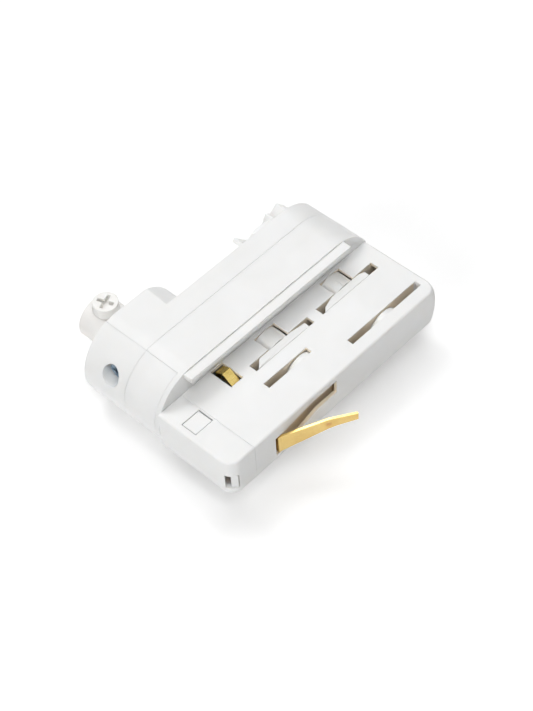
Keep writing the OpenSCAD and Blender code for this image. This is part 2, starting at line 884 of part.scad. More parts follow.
// Brass clamps in the terminal block
module terminal_clamps() {
    color("gold") for (y = term_ys)
        difference() {
            clamp_space(y, term_x1 - clamp_short);
            rod_x(term_x0, term_x0 + 2 * strip_notch, y, term_screw_z, clamp_bore_r);
            wire_entry(y, 2 * wire_l);
            block([term_x1 - strip_notch, y - clamp_w, ring_z0 + strip_lead - narrow],
                  [term_x1 + over, y + clamp_w, ring_z1 - strip_lead + narrow]);
        }
}

// Slotted screws of the terminals
module terminal_screws() {
    color("silver") for (y = term_ys)
        difference() {
            union() {
                rod_x(term_x0 - term_out, term_x0 + term_wall - tiny, y, term_screw_z, term_head_r);
                rod_x(term_x0 - term_out, term_x0 - term_out + term_screw_l, y, term_screw_z, term_shank_r);
            }
            block([term_x0 - term_out - over, y - term_slot_w / 2, term_screw_z - term_hole_r],
                  [term_x0 + narrow, y + term_slot_w / 2, term_screw_z + term_hole_r]);
        }
}

track_housing();
slab_end_cap();
collar_end_cover();
room_cover();
room_end_cover();
end_cover_screw();
nipple_boss();
nipple_clamp_screw();
neutral_rotor();
neutral_blade();
neutral_ring();
neutral_dial();
dial_screw();
phase_rotor();
phase_blade();
phase_ring();
selector_knob();
knob_screw();
thrust_washers();
earth_spring();
earth_strip();
side_contact();
neutral_strip();
phase_strip();
terminal_block();
terminal_clamps();
terminal_screws();
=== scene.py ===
"""Looks of a track light adapter: white mouldings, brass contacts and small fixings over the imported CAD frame."""

from __future__ import annotations

import logging
import math
from dataclasses import dataclass, field
from enum import Enum
from typing import Any, ClassVar, Iterable

import bmesh
import bpy
from mathutils import Matrix, Vector


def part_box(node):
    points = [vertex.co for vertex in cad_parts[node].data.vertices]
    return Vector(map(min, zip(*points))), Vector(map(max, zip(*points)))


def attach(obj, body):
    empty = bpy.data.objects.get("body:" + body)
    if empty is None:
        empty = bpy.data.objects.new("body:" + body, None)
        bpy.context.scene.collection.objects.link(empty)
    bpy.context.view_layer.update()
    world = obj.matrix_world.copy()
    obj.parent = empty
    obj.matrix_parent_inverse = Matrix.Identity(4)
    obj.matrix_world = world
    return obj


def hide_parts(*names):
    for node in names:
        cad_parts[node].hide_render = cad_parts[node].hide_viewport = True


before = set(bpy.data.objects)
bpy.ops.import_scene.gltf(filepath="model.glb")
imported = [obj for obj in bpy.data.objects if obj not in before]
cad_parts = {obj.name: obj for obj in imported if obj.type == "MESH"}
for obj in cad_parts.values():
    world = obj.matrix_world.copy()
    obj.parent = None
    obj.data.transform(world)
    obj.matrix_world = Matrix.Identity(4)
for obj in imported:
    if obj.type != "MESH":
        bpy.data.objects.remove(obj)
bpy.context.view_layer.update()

LOG = logging.getLogger("track_adapter")

Colour = tuple[float, float, float]
Point = tuple[float, float, float]
Span = tuple[float, float]
Socket = bpy.types.NodeSocket

# A millimetre in metres, and how many millimetres apart two places may be and still count as one.
MM = 0.001
SLACK = 0.002

# Faces that meet at less than the first angle are merged, edges past the second are rounded, and edges below the
# third are shaded smooth.
FLAT_ANGLE = math.radians(0.4)
SHARP_ANGLE = math.radians(32.0)
SMOOTH_ANGLE = math.radians(35.0)


class Rounding(Enum):
    """Edge rounding of a piece, as its width in millimetres and its number of steps."""

    CRISP = (0.06, 2)
    FINE = (0.1, 2)
    MOULDED = (0.16, 3)
    SOFT = (0.3, 3)


class Slot(Enum):
    """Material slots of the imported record."""

    BODY = "body_white"
    ROTOR = "rotor_white"
    SPRING = "spring_brass"
    CONTACT = "contact_brass"
    ZINC = "zinc_steel"
    NYLON = "clear_nylon"
    FIBRE = "fibre"


class Graph:
    """A node tree with short calls for adding and linking nodes."""

    MIX_SHARE: ClassVar[int] = 0
    MIX_FIRST: ClassVar[int] = 6
    MIX_SECOND: ClassVar[int] = 7
    MIX_RESULT: ClassVar[int] = 2

    def __init__(self, tree: bpy.types.NodeTree) -> None:
        """Takes over a tree and clears it.

        Args:
            tree: the node tree to build in.
        """
        self.tree = tree
        tree.nodes.clear()

    def add(self, kind: str, props: dict[str, Any] | None = None, **sockets: Any) -> bpy.types.Node:
        """Adds a node and sets its properties and unlinked sockets.

        Args:
            kind: the node's type name.
            props: properties of the node itself.
            sockets: input values by socket name, with _ for a space.

        Returns:
            The new node.
        """
        node = self.tree.nodes.new(kind)
        for name, value in (props or {}).items():
            setattr(node, name, value)
        for name, value in sockets.items():
            node.inputs[name.replace("_", " ")].default_value = value
        return node

    def link(self, source: Socket, target: Socket) -> None:
        """Links one output socket to one input socket."""
        self.tree.links.new(source, target)

    def feed(self, value: Any, target: Socket) -> None:
        """Links an output socket to an input socket, or sets a plain value on it.

        Args:
            value: the output socket or the plain value.
            target: the input socket.
        """
        if isinstance(value, bpy.types.NodeSocket):
            self.link(value, target)
        else:
            target.default_value = value

    def math(self, operation: str, a: Any, b: Any = 0.0) -> Socket:
        """Adds a Math node on two values or sockets.

        Args:
            operation: the Math node's operation.
            a: first value or output socket.
            b: second value or output socket.

        Returns:
            The result's socket.
        """
        node = self.add("ShaderNodeMath", {"operation": operation})
        for value, target in zip((a, b), node.inputs):
            self.feed(value, target)
        return node.outputs[0]

    def ramp(self, value: Socket, span: Span, to: Span = (0.0, 1.0)) -> Socket:
        """Maps one span of values to another and holds the result at its ends.

        Args:
            value: the socket that is mapped.
            span: values that give the first and the second result.
            to: the first and the second result.

        Returns:
            The result's socket.
        """
        node = self.add("ShaderNodeMapRange", From_Min=span[0], From_Max=span[1], To_Min=to[0], To_Max=to[1])
        self.link(value, node.inputs["Value"])
        return node.outputs["Result"]

    def tint(self, mask: Socket, first: Colour | Socket, second: Colour) -> Socket:
        """Mixes two colours by a mask.

        Args:
            mask: socket with the share of the second colour.
            first: colour at mask 0, plain or as a socket.
            second: colour at mask 1.

        Returns:
            The mixed colour's socket.
        """
        node = self.add("ShaderNodeMix", {"data_type": "RGBA"})
        self.link(mask, node.inputs[self.MIX_SHARE])
        self.feed(first if isinstance(first, bpy.types.NodeSocket) else (*first, 1.0), node.inputs[self.MIX_FIRST])
        self.feed((*second, 1.0), node.inputs[self.MIX_SECOND])
        return node.outputs[self.MIX_RESULT]


class Effect:
    """Shader node groups that the finishes use, each built once."""

    # The slab's inside in millimetres, where warm shade is painted: on each side, where it starts and where it is
    # reached in full.
    HOLLOW_SIDES: ClassVar[Span] = (7.7, 7.2)
    HOLLOW_NEAR: ClassVar[Span] = (-30.5, -29.5)
    HOLLOW_FAR: ClassVar[Span] = (46.8, 46.2)
    HOLLOW_LOW: ClassVar[Span] = (0.1, 0.8)
    HOLLOW_HIGH: ClassVar[Span] = (32.3, 31.9)
    STROKE_SCALE: ClassVar[Point] = (0.03, 1.0, 0.35)

    _made: ClassVar[dict[str, bpy.types.NodeTree]] = {}

    @classmethod
    def _start(cls, name: str, inputs: dict[str, float], outputs: Iterable[str]) -> tuple[Graph, Any, Any]:
        """Makes an empty group with float sockets.

        Args:
            name: the group's name.
            inputs: default value by input name.
            outputs: names of the outputs.

        Returns:
            The graph, its input node and its output node.
        """
        tree = bpy.data.node_groups.new(name, "ShaderNodeTree")
        for label, value in inputs.items():
            socket = tree.interface.new_socket(label, in_out="INPUT", socket_type="NodeSocketFloat")
            socket.default_value = value
        for label in outputs:
            tree.interface.new_socket(label, in_out="OUTPUT", socket_type="NodeSocketFloat")
        graph = Graph(tree)
        cls._made[name] = tree
        return graph, graph.add("NodeGroupInput"), graph.add("NodeGroupOutput")

    @classmethod
    def grain(cls) -> bpy.types.NodeTree:
        """Fine spark-eroded grain of a mould, with a slow drift of tone over it.

        Returns:
            The group, with outputs Height and Drift.
        """
        if "moulded_grain" in cls._made:
            return cls._made["moulded_grain"]
        graph, given, result = cls._start("moulded_grain", {"Grain": 5200.0, "Flow": 55.0}, ("Height", "Drift"))
        place = graph.add("ShaderNodeTexCoord").outputs["Object"]
        fine = graph.add("ShaderNodeTexNoise", Detail=3.0, Roughness=0.55)
        slow = graph.add("ShaderNodeTexNoise", Detail=2.0, Roughness=0.5, Distortion=0.6)
        for noise, name in ((fine, "Grain"), (slow, "Flow")):
            graph.link(place, noise.inputs["Vector"])
            graph.link(given.outputs[name], noise.inputs["Scale"])
        graph.link(fine.outputs["Fac"], result.inputs["Height"])
        graph.link(slow.outputs["Fac"], result.inputs["Drift"])
        return graph.tree

    @classmethod
    def strokes(cls) -> bpy.types.NodeTree:
        """Long fine strokes along X, as rolling or brushing leaves them on metal, and blots of stain.

        Returns:
            The group, with outputs Height and Stain.
        """
        if "rolled_strokes" in cls._made:
            return cls._made["rolled_strokes"]
        graph, given, result = cls._start("rolled_strokes", {"Fine": 9000.0, "Stain": 160.0}, ("Height", "Stain"))
        place = graph.add("ShaderNodeTexCoord").outputs["Object"]
        stretch = graph.add("ShaderNodeMapping", Scale=cls.STROKE_SCALE)
        graph.link(place, stretch.inputs["Vector"])
        fine = graph.add("ShaderNodeTexNoise", Detail=4.0, Roughness=0.6)
        graph.link(stretch.outputs["Vector"], fine.inputs["Vector"])
        graph.link(given.outputs["Fine"], fine.inputs["Scale"])
        blot = graph.add("ShaderNodeTexNoise", Detail=3.0, Roughness=0.6)
        graph.link(place, blot.inputs["Vector"])
        graph.link(given.outputs["Stain"], blot.inputs["Scale"])
        graph.link(fine.outputs["Fac"], result.inputs["Height"])
        graph.link(blot.outputs["Fac"], result.inputs["Stain"])
        return graph.tree

    @classmethod
    def painted_inner_shade(cls) -> bpy.types.NodeTree:
        """Mask of the slab's inside, as it is seen through its windows, where warm shade is painted.

        Returns:
            The group, with the output Inside.
        """
        if "slab_painted_inner_shade" in cls._made:
            return cls._made["slab_painted_inner_shade"]
        graph, _, result = cls._start("slab_painted_inner_shade", {}, ("Inside",))
        split = graph.add("ShaderNodeSeparateXYZ")
        graph.link(graph.add("ShaderNodeTexCoord").outputs["Object"], split.inputs["Vector"])
        x, y, z = (split.outputs[name] for name in "XYZ")
        bounds = ((graph.math("ABSOLUTE", y), cls.HOLLOW_SIDES), (x, cls.HOLLOW_NEAR), (x, cls.HOLLOW_FAR),
                  (z, cls.HOLLOW_LOW), (z, cls.HOLLOW_HIGH))
        inside, *others = [graph.ramp(place, (start * MM, full * MM)) for place, (start, full) in bounds]
        for mask in others:
            inside = graph.math("MULTIPLY", inside, mask)
        graph.link(inside, result.inputs["Inside"])
        return graph.tree


@dataclass(frozen=True)
class Finish:
    """A finish that can be put on a piece."""

    name: str

    def material(self) -> bpy.types.Material:
        """Gives the finish's material, made on first use.

        Returns:
            The material.
        """
        found = bpy.data.materials.get(self.name)
        if found is None:
            found = bpy.data.materials.new(self.name)
            found.use_nodes = True
            self.fill(Graph(found.node_tree))
        return found

    def fill(self, graph: Graph) -> None:
        """Builds the finish's nodes; each kind of finish has its own."""
        raise NotImplementedError

    def colour(self, graph: Graph, plain: Socket) -> Socket:
        """Gives the finish's colour from its plain one; most finishes leave that as it is."""
        return plain

    @staticmethod
    def surface(graph: Graph, **sockets: Any) -> bpy.types.Node:
        """Adds a Principled shader and the output.

        Args:
            graph: the material's graph.
            sockets: plain values for the shader's sockets.

        Returns:
            The shader node.
        """
        shader = graph.add("ShaderNodeBsdfPrincipled", **sockets)
        output = graph.add("ShaderNodeOutputMaterial")
        graph.link(shader.outputs["BSDF"], output.inputs["Surface"])
        return shader

    @staticmethod
    def relief(graph: Graph, shader: bpy.types.Node, height: Socket, bump: Span) -> None:
        """Bumps a shader's normal.

        Args:
            graph: the material's graph.
            shader: the Principled shader.
            height: height socket from 0 to 1.
            bump: the bump's strength, and the depth in millimetres of a height of 1.
        """
        strength, depth = bump
        node = graph.add("ShaderNodeBump", Strength=strength, Distance=depth * MM)
        graph.link(height, node.inputs["Height"])
        graph.link(node.outputs["Normal"], shader.inputs["Normal"])


@dataclass(frozen=True)
class MouldedPlastic(Finish):
    """White moulded plastic with a fine grain and a slow drift of tone; light goes reach millimetres into it."""

    light: Colour = (0.87, 0.87, 0.865)
    deep: Colour = (0.835, 0.835, 0.825)
    rough: Span = (0.4, 0.52)
    grain: float = 5200.0
    flow: float = 55.0
    spread: Span = (0.3, 0.7)
    bump: Span = (0.12, 0.03)
    ior: float = 1.5
    milk: float = 0.3
    reach: float = 2.0
    bleed: Colour = (1.0, 0.9, 0.8)

    def fill(self, graph: Graph) -> None:
        """Builds the plastic's nodes.

        Args:
            graph: the material's graph.
        """
        shader = self.surface(graph, IOR=self.ior, Subsurface_Weight=self.milk, Subsurface_Scale=self.reach * MM,
                              Subsurface_Radius=self.bleed)
        group = graph.add("ShaderNodeGroup", {"node_tree": Effect.grain()}, Grain=self.grain, Flow=self.flow)
        tone = graph.ramp(group.outputs["Drift"], self.spread)
        colour = self.colour(graph, graph.tint(tone, self.light, self.deep))
        graph.link(colour, shader.inputs["Base Color"])
        graph.link(graph.ramp(group.outputs["Height"], self.spread, self.rough), shader.inputs["Roughness"])
        self.relief(graph, shader, group.outputs["Height"], self.bump)


@dataclass(frozen=True)
class InnerShadePaintedPlastic(MouldedPlastic):
    """The same plastic on a shell with warm shade painted on its inside, which is seen through its windows."""

    # Painted warm shade: the slab's inside is drawn darker and warmer than its outside.
    inner: Colour = (0.9, 0.8, 0.66)

    def colour(self, graph: Graph, plain: Socket) -> Socket:
        """Gives the plastic's colour, with warm shade painted on the inside."""
        group = graph.add("ShaderNodeGroup", {"node_tree": Effect.painted_inner_shade()})
        return graph.tint(group.outputs["Inside"], plain, self.inner)


@dataclass(frozen=True)
class NaturalNylon(MouldedPlastic):
    """Natural nylon, milky and faintly warm."""

    light: Colour = (0.85, 0.845, 0.825)
    deep: Colour = (0.81, 0.8, 0.77)
    rough: Span = (0.26, 0.4)
    grain: float = 2600.0
    flow: float = 240.0
    bump: Span = (0.1, 0.02)
    ior: float = 1.53
    milk: float = 0.4
    reach: float = 1.5
    bleed: Colour = (1.0, 0.95, 0.9)


@dataclass(frozen=True)
class PressedFibre(Finish):
    """Brown pressed fibre of the thrust washers."""

    light: Colour = (0.6, 0.47, 0.33)
    deep: Colour = (0.45, 0.34, 0.23)
    rough: Span = (0.65, 0.85)
    grain: float = 3000.0
    flow: float = 900.0
    spread: Span = (0.3, 0.7)
    bump: Span = (0.3, 0.04)

    def fill(self, graph: Graph) -> None:
        """Builds the fibre's nodes.

        Args:
            graph: the material's graph.
        """
        shader = self.surface(graph)
        group = graph.add("ShaderNodeGroup", {"node_tree": Effect.grain()}, Grain=self.grain, Flow=self.flow)
        tone = graph.ramp(group.outputs["Drift"], self.spread)
        graph.link(graph.tint(tone, self.light, self.deep), shader.inputs["Base Color"])
        graph.link(graph.ramp(group.outputs["Height"], self.spread, self.rough), shader.inputs["Roughness"])
        self.relief(graph, shader, group.outputs["Height"], self.bump)


@dataclass(frozen=True)
class RolledBrass(Finish):
    """Rolled brass strip with fine strokes and faint stains."""

    bright: Colour = (0.9, 0.73, 0.38)
    stain: Colour = (0.78, 0.58, 0.26)
    rough: Span = (0.22, 0.42)
    stained: Span = (0.35, 0.75)
    stroked: Span = (0.25, 0.75)
    bump: Span = (0.2, 0.02)

    def fill(self, graph: Graph) -> None:
        """Builds the brass's nodes.

        Args:
            graph: the material's graph.
        """
        shader = self.surface(graph, Metallic=1.0)
        group = graph.add("ShaderNodeGroup", {"node_tree": Effect.strokes()})
        mask = graph.ramp(group.outputs["Stain"], self.stained)
        colour = self.colour(graph, graph.tint(mask, self.bright, self.stain))
        graph.link(colour, shader.inputs["Base Color"])
        graph.link(graph.ramp(group.outputs["Height"], self.stroked, self.rough), shader.inputs["Roughness"])
        self.relief(graph, shader, group.outputs["Height"], self.bump)


@dataclass(frozen=True)
class DimpledBrass(RolledBrass):
    """Rolled brass with shade painted into its dimple as a darker, redder colour; place and reach in millimetres.
    """

    bright: Colour = (0.77, 0.57, 0.22)
    stain: Colour = (0.69, 0.47, 0.16)
    # Painted shade in the dimple.
    painted_dimple_shade: Colour = (0.62, 0.36, 0.14)
    spot: Point = (-13.74, 2.15, 40.83)
    reach: Span = (1.25, 0.6)

    def colour(self, graph: Graph, plain: Socket) -> Socket:
        """Gives the brass's colour, with darker, redder shade painted into the dimple.

        Args:
            graph: the material's graph.
            plain: the stained brass.

        Returns:
            The colour's socket.
        """
        away = graph.add("ShaderNodeVectorMath", {"operation": "DISTANCE"})
        graph.link(graph.add("ShaderNodeTexCoord").outputs["Object"], away.inputs[0])
        away.inputs[1].default_value = Vector(self.spot) * MM
        outer, inner = self.reach
        return graph.tint(graph.ramp(away.outputs["Value"], (outer * MM, inner * MM)), plain, self.painted_dimple_shade)


@dataclass(frozen=True)
class ZincPlate(Finish):
    """Bluish zinc plating with a soft mottle."""

    bright: Colour = (0.4, 0.5, 0.6)
    dull: Colour = (0.14, 0.22, 0.3)
    rough: Span = (0.25, 0.45)
    strokes: float = 6000.0
    mottle: float = 700.0
    dulled: Span = (0.35, 0.7)
    spread: Span = (0.3, 0.7)
    bump: Span = (0.15, 0.02)

    def fill(self, graph: Graph) -> None:
        """Builds the plating's nodes.

        Args:
            graph: the material's graph.
        """
        shader = self.surface(graph, Metallic=1.0)
        group = graph.add("ShaderNodeGroup", {"node_tree": Effect.strokes()}, Fine=self.strokes, Stain=self.mottle)
        mask = graph.ramp(group.outputs["Stain"], self.dulled)
        graph.link(graph.tint(mask, self.bright, self.dull), shader.inputs["Base Color"])
        graph.link(graph.ramp(group.outputs["Stain"], self.spread, self.rough), shader.inputs["Roughness"])
        self.relief(graph, shader, group.outputs["Height"], self.bump)


BODY_WHITE = MouldedPlastic("body_white_moulding")
HOUSING_WHITE_SHADED_INSIDE = InnerShadePaintedPlastic("housing_white_painted_inner_shade")
ROTOR_WHITE = MouldedPlastic("rotor_white_moulding", light=(0.88, 0.88, 0.87), deep=(0.84, 0.84, 0.82),
                             grain=4000.0)
BOSS_WHITE = MouldedPlastic("boss_white_moulding", light=(0.86, 0.845, 0.825), deep=(0.83, 0.815, 0.795),
                            grain=3600.0)
SPRING_BRASS = RolledBrass("spring_brass_strip")
EARTH_BRASS = DimpledBrass("earth_brass_strip_shaded_dimple")
CONTACT_BRASS = RolledBrass("contact_brass_strip", bright=(0.72, 0.56, 0.2), stain=(0.5, 0.37, 0.11),
                            rough=(0.18, 0.36))
ZINC = ZincPlate("zinc_plate")
NYLON = NaturalNylon("natural_nylon")
FIBRE = PressedFibre("pressed_fibre")

FINISH_OF: dict[Slot, Finish] = {
    Slot.BODY: BODY_WHITE,
    Slot.ROTOR: ROTOR_WHITE,
    Slot.SPRING: SPRING_BRASS,
    Slot.CONTACT: CONTACT_BRASS,
    Slot.ZINC: ZINC,
    Slot.NYLON: NYLON,
    Slot.FIBRE: FIBRE,
}


def deselect() -> None:
    """Leaves edit mode and deselects every object."""
    if bpy.context.object is not None and bpy.context.object.mode != "OBJECT":
        bpy.ops.object.mode_set(mode="OBJECT")
    bpy.ops.object.select_all(action="DESELECT")


def only(piece: bpy.types.Object) -> None:
    """Selects one object alone and makes it active.

    Args:
        piece: the object.
    """
    deselect()
    piece.select_set(True)
    bpy.context.view_layer.objects.active = piece


@dataclass
class SubAssembly:
    """A group of pieces on one CAD body."""

    body: str
    made: list[bpy.types.Object] = field(default_factory=list)

    def build(self) -> None:
        """Builds the pieces; each sub-assembly has its own."""
        raise NotImplementedError

    def rounded(self, node: str, slot: Slot, rounding: Rounding, finish: Finish | None = None,
                cutter: bpy.types.Object | None = None, above: float = -1.0) -> bpy.types.Object:
        """Makes a copy of a CAD node with rounded edges, which stands for that node.

        Args:
            node: the CAD node's name.
            slot: material slot of the piece.
            rounding: how far its edges are rounded.
            finish: the piece's own finish, where the slot's usual one isn't meant.
            cutter: a closed mesh that is cut out of the piece and then removed.
            above: height in metres from which edges are rounded.

        Returns:
            The finished piece.
        """
        piece = self.merged_copy(node)
        self.reshape(piece, node)
        self.weigh_outer_edges(piece, above)
        width, steps = rounding.value
        bevel = piece.modifiers.new("edges", "BEVEL")
        bevel.limit_method = "WEIGHT"
        bevel.offset_type = "OFFSET"
        bevel.width = width * MM
        bevel.segments = steps
        bevel.use_clamp_overlap = False
        bpy.ops.object.modifier_apply(modifier=bevel.name)
        bpy.ops.object.mode_set(mode="EDIT")
        bpy.ops.mesh.select_all(action="SELECT")
        bpy.ops.mesh.fill_holes(sides=0)
        bpy.ops.mesh.dissolve_degenerate(threshold=SLACK * MM)
        bpy.ops.object.mode_set(mode="OBJECT")
        if cutter is not None:
            self.cut_out(piece, cutter)
        bpy.ops.object.shade_smooth_by_angle(angle=SMOOTH_ANGLE)
        even = piece.modifiers.new("even_shading", "WEIGHTED_NORMAL")
        even.keep_sharp = True
        bpy.ops.object.modifier_apply(modifier=even.name)
        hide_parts(node)
        return self.dress(piece, slot, finish)

    @staticmethod
    def merged_copy(node: str) -> bpy.types.Object:
        """Copies a CAD node, with its triangles merged into whole faces.

        Args:
            node: the CAD node's name.

        Returns:
            The copy, selected alone.
        """
        piece = bpy.data.objects.new(f"{node}_moulded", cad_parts[node].data.copy())
        bpy.context.scene.collection.objects.link(piece)
        only(piece)
        bpy.ops.object.mode_set(mode="EDIT")
        bpy.ops.mesh.select_all(action="SELECT")
        bpy.ops.mesh.customdata_custom_splitnormals_clear()
        bpy.ops.mesh.remove_doubles(threshold=SLACK * MM)
        bpy.ops.mesh.dissolve_limited(angle_limit=FLAT_ANGLE)
        bpy.ops.object.mode_set(mode="OBJECT")
        return piece

    def reshape(self, piece: bpy.types.Object, node: str) -> None:
        """Shapes a merged copy further before its edges are rounded; most pieces need nothing."""

    @staticmethod
    def cut_out(piece: bpy.types.Object, cutter: bpy.types.Object) -> None:
        """Cuts a closed mesh out of a piece and removes it.

        Args:
            piece: the piece, which is left selected.
            cutter: the mesh that is taken away.
        """
        only(piece)
        cut = piece.modifiers.new("cut", "BOOLEAN")
        cut.operation = "DIFFERENCE"
        cut.solver = "MANIFOLD"
        cut.object = cutter
        bpy.ops.object.modifier_apply(modifier=cut.name)
        bpy.data.objects.remove(cutter)

    @staticmethod
    def weigh_outer_edges(piece: bpy.types.Object, above: float) -> None:
        """Marks the sharp edges that stand out of a piece, for its rounding.

        Args:
            piece: a merged mesh.
            above: height in metres from which edges are marked.
        """
        work = bmesh.new()
        work.from_mesh(piece.data)
        weights = [1.0 if len(edge.link_faces) == 2 and edge.is_convex
                   and edge.calc_face_angle(0.0) > SHARP_ANGLE
                   and all(vertex.co.z > above for vertex in edge.verts) else 0.0 for edge in work.edges]
        work.free()
        layer = piece.data.attributes.new("bevel_weight_edge", "FLOAT", "EDGE")
        layer.data.foreach_set("value", weights)

    def dress(self, piece: bpy.types.Object, slot: Slot, finish: Finish | None = None) -> bpy.types.Object:
        """Puts a finish on a piece and lets it ride on this body.

        Args:
            piece: the finished mesh.
            slot: material slot it belongs to.
            finish: its own finish, where the slot's usual one isn't meant.

        Returns:
            The same piece.
        """
        piece.data.materials.clear()
        piece.data.materials.append((finish or FINISH_OF[slot]).material())
        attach(piece, self.body)
        self.made.append(piece)
        LOG.info("%s rides on %s", piece.name, self.body)
        return piece

    def keep(self, node: str, slot: Slot) -> None:
        """Leaves a CAD node as it is and gives it a finish.

        Args:
            node: the CAD node's name.
            slot: material slot of the node.
        """
        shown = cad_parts[node]
        shown.data.materials.clear()
        shown.data.materials.append(FINISH_OF[slot].material())
        LOG.info("%s keeps its CAD shape", node)


@dataclass
class Housing(SubAssembly):
    """White shells of the slab and the body, with what is fixed inside them; sizes in millimetres."""

    body: str = "housing"
    shells: tuple[str, ...] = ("slab_end_cap", "collar_end_cover", "room_cover")
    strips: tuple[str, ...] = ("earth_strip", "neutral_strip", "phase_strip", "terminal_clamps")
    slab_end: float = 50.0
    slab_top: float = 32.4
    half_t: float = 7.75
    corner_r: float = 1.2
    round_r: float = 4.5
    end_centre: float = 35.2
    end_r: float = 16.8
    cuts: int = 15
    faces_down: float = -0.5
    rib_side: Span = (14.3, 16.4)
    rib_ends: Span = (-37.7, 40.0)
    rib_cut: float = 0.7
    head_from: float = -42.9
    head_lift: float = 1.4

    def reshape(self, piece: bpy.types.Object, node: str) -> None:
        """Shapes the housing's ribs and its far end, and the height of the sunk screw's head.

        Args:
            piece: the merged copy.
            node: the CAD node that it copies.
        """
        if node == "end_cover_screw":
            self.lift_head(piece)
        elif node == "track_housing":
            self.shorten_ribs(piece)
            self.swell_far_end(piece)

    def lift_head(self, piece: bpy.types.Object) -> None:
        """Draws the face of the sunk screw's head towards the mouth of its hole.

        Args:
            piece: the screw's copy.
        """
        for vertex in piece.data.vertices:
            if vertex.co.x < self.head_from * MM:
                vertex.co.x -= self.head_lift * MM

    def shorten_ribs(self, piece: bpy.types.Object) -> None:
        """Draws both ends of the ribs in, clear of the rim's rounded edge.

        Args:
            piece: the housing's copy.
        """
        inner, outer = self.rib_side
        for vertex in piece.data.vertices:
            x, y, z = vertex.co / MM
            if z < -SLACK or not inner - SLACK < abs(y) < outer + SLACK:
                continue
            for end, inward in zip(self.rib_ends, (1.0, -1.0)):
                if abs(x - end) < SLACK:
                    vertex.co.x += inward * self.rib_cut * MM

    def swell_far_end(self, piece: bpy.types.Object) -> None:
        """Swells the slab's far end to a round face with a wide upper rounding.

        Args:
            piece: the housing's copy.
        """
        start = self.slab_end - self.corner_r
        for step in range(1, self.cuts):
            y = self.half_t * (2.0 * step / self.cuts - 1.0)
            self.pick_far_faces(piece, start)
            bpy.ops.object.mode_set(mode="EDIT")
            bpy.ops.mesh.bisect(plane_co=(0.0, y * MM, 0.0), plane_no=(0.0, 1.0, 0.0))
            bpy.ops.object.mode_set(mode="OBJECT")
        low, grow = self.slab_top - self.corner_r, self.round_r - self.corner_r
        for vertex in piece.data.vertices:
            x, y, z = vertex.co / MM
            if not start - SLACK < x < self.slab_end + SLACK or z < -SLACK or abs(y) > self.half_t + SLACK:
                continue
            if z > low - SLACK:
                away = Vector((x - start, z - low))
                away *= (away.length + grow) / away.length
                x, z = start - grow + away.x, low - grow + away.y
            x += self.end_centre + math.sqrt(self.end_r ** 2 - y ** 2) - self.slab_end
            vertex.co = Vector((x, y, z)) * MM

    def pick_far_faces(self, piece: bpy.types.Object, start: float) -> None:
        """Selects the faces of the slab's far end and of its rounding, alone.

        Args:
            piece: the housing's copy.
            start: place along X where the rounding starts, in millimetres.
        """
        mesh = piece.data
        inside = [v.co.x / MM > start - SLACK and v.co.z / MM > -SLACK and abs(v.co.y) / MM < self.half_t + SLACK
                  for v in mesh.vertices]
        picked = [all(inside[i] for i in face.vertices) and face.normal.z > self.faces_down
                  for face in mesh.polygons]
        only(piece)
        mesh.polygons.foreach_set("select", picked)
        chosen = {i for face, keep in zip(mesh.polygons, picked) if keep for i in face.vertices}
        for vertex in mesh.vertices:
            vertex.select = vertex.index in chosen
        for edge in mesh.edges:
            edge.select = all(i in chosen for i in edge.vertices)

    def build(self) -> None:
        """Builds the shells, the cover's screw and the inner pieces."""
        self.rounded("track_housing", Slot.BODY, Rounding.MOULDED, HOUSING_WHITE_SHADED_INSIDE)
        for node in self.shells:
            self.rounded(node, Slot.BODY, Rounding.MOULDED)
        self.rounded("room_end_cover", Slot.BODY, Rounding.FINE)
        self.rounded("end_cover_screw", Slot.ZINC, Rounding.CRISP)
        self.rounded("terminal_block", Slot.ROTOR, Rounding.CRISP)
        self.rounded("terminal_screws", Slot.ZINC, Rounding.CRISP)
        self.keep("thrust_washers", Slot.FIBRE)
        for node in self.strips:
            self.keep(node, Slot.SPRING)


@dataclass
class NippleBoss(SubAssembly):
    """Boss of the housing, with the thread for the nipple in its bore; sizes in millimetres."""

    body: str = "housing"
    axis_x: float = -29.3
    core_r: float = 4.5
    pitch: float = 1.0
    flank: Span = (0.52, 0.34)
    corners: int = 4
    steps: int = 48
    spare_turns: int = 2

    def build(self) -> None:
        """Builds the boss."""
        self.rounded("nipple_boss", Slot.BODY, Rounding.MOULDED, BOSS_WHITE, self.thread())

    def thread(self) -> bpy.types.Object:
        """Models the screw-shaped space of the thread over the whole bore.

        Returns:
            A closed mesh about the boss's axis.
        """
        low, high = (corner[2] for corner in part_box("nipple_boss"))
        out, half = self.flank
        deselect()
        bpy.ops.mesh.primitive_circle_add(vertices=self.corners, radius=MM, location=(self.core_r * MM, 0.0, 0.0),
                                          rotation=(math.pi / 2, 0.0, 0.0))
        groove = bpy.context.object
        groove.scale = (out, half, 1.0)
        bpy.ops.object.transform_apply(location=True, rotation=True, scale=True)
        turn = groove.modifiers.new("turns", "SCREW")
        turn.axis = "Z"
        turn.screw_offset = self.pitch * MM
        turn.iterations = math.ceil((high - low) / MM / self.pitch) + self.spare_turns
        turn.steps = turn.render_steps = self.steps
        bpy.ops.object.modifier_apply(modifier=turn.name)
        bpy.ops.object.mode_set(mode="EDIT")
        bpy.ops.mesh.select_all(action="SELECT")
        bpy.ops.mesh.fill_holes(sides=self.corners)
        bpy.ops.mesh.normals_make_consistent(inside=False)
        bpy.ops.object.mode_set(mode="OBJECT")
        groove.location = (self.axis_x * MM, 0.0, low - self.pitch * MM)
        bpy.ops.object.transform_apply(location=True, rotation=True, scale=True)
        return groove


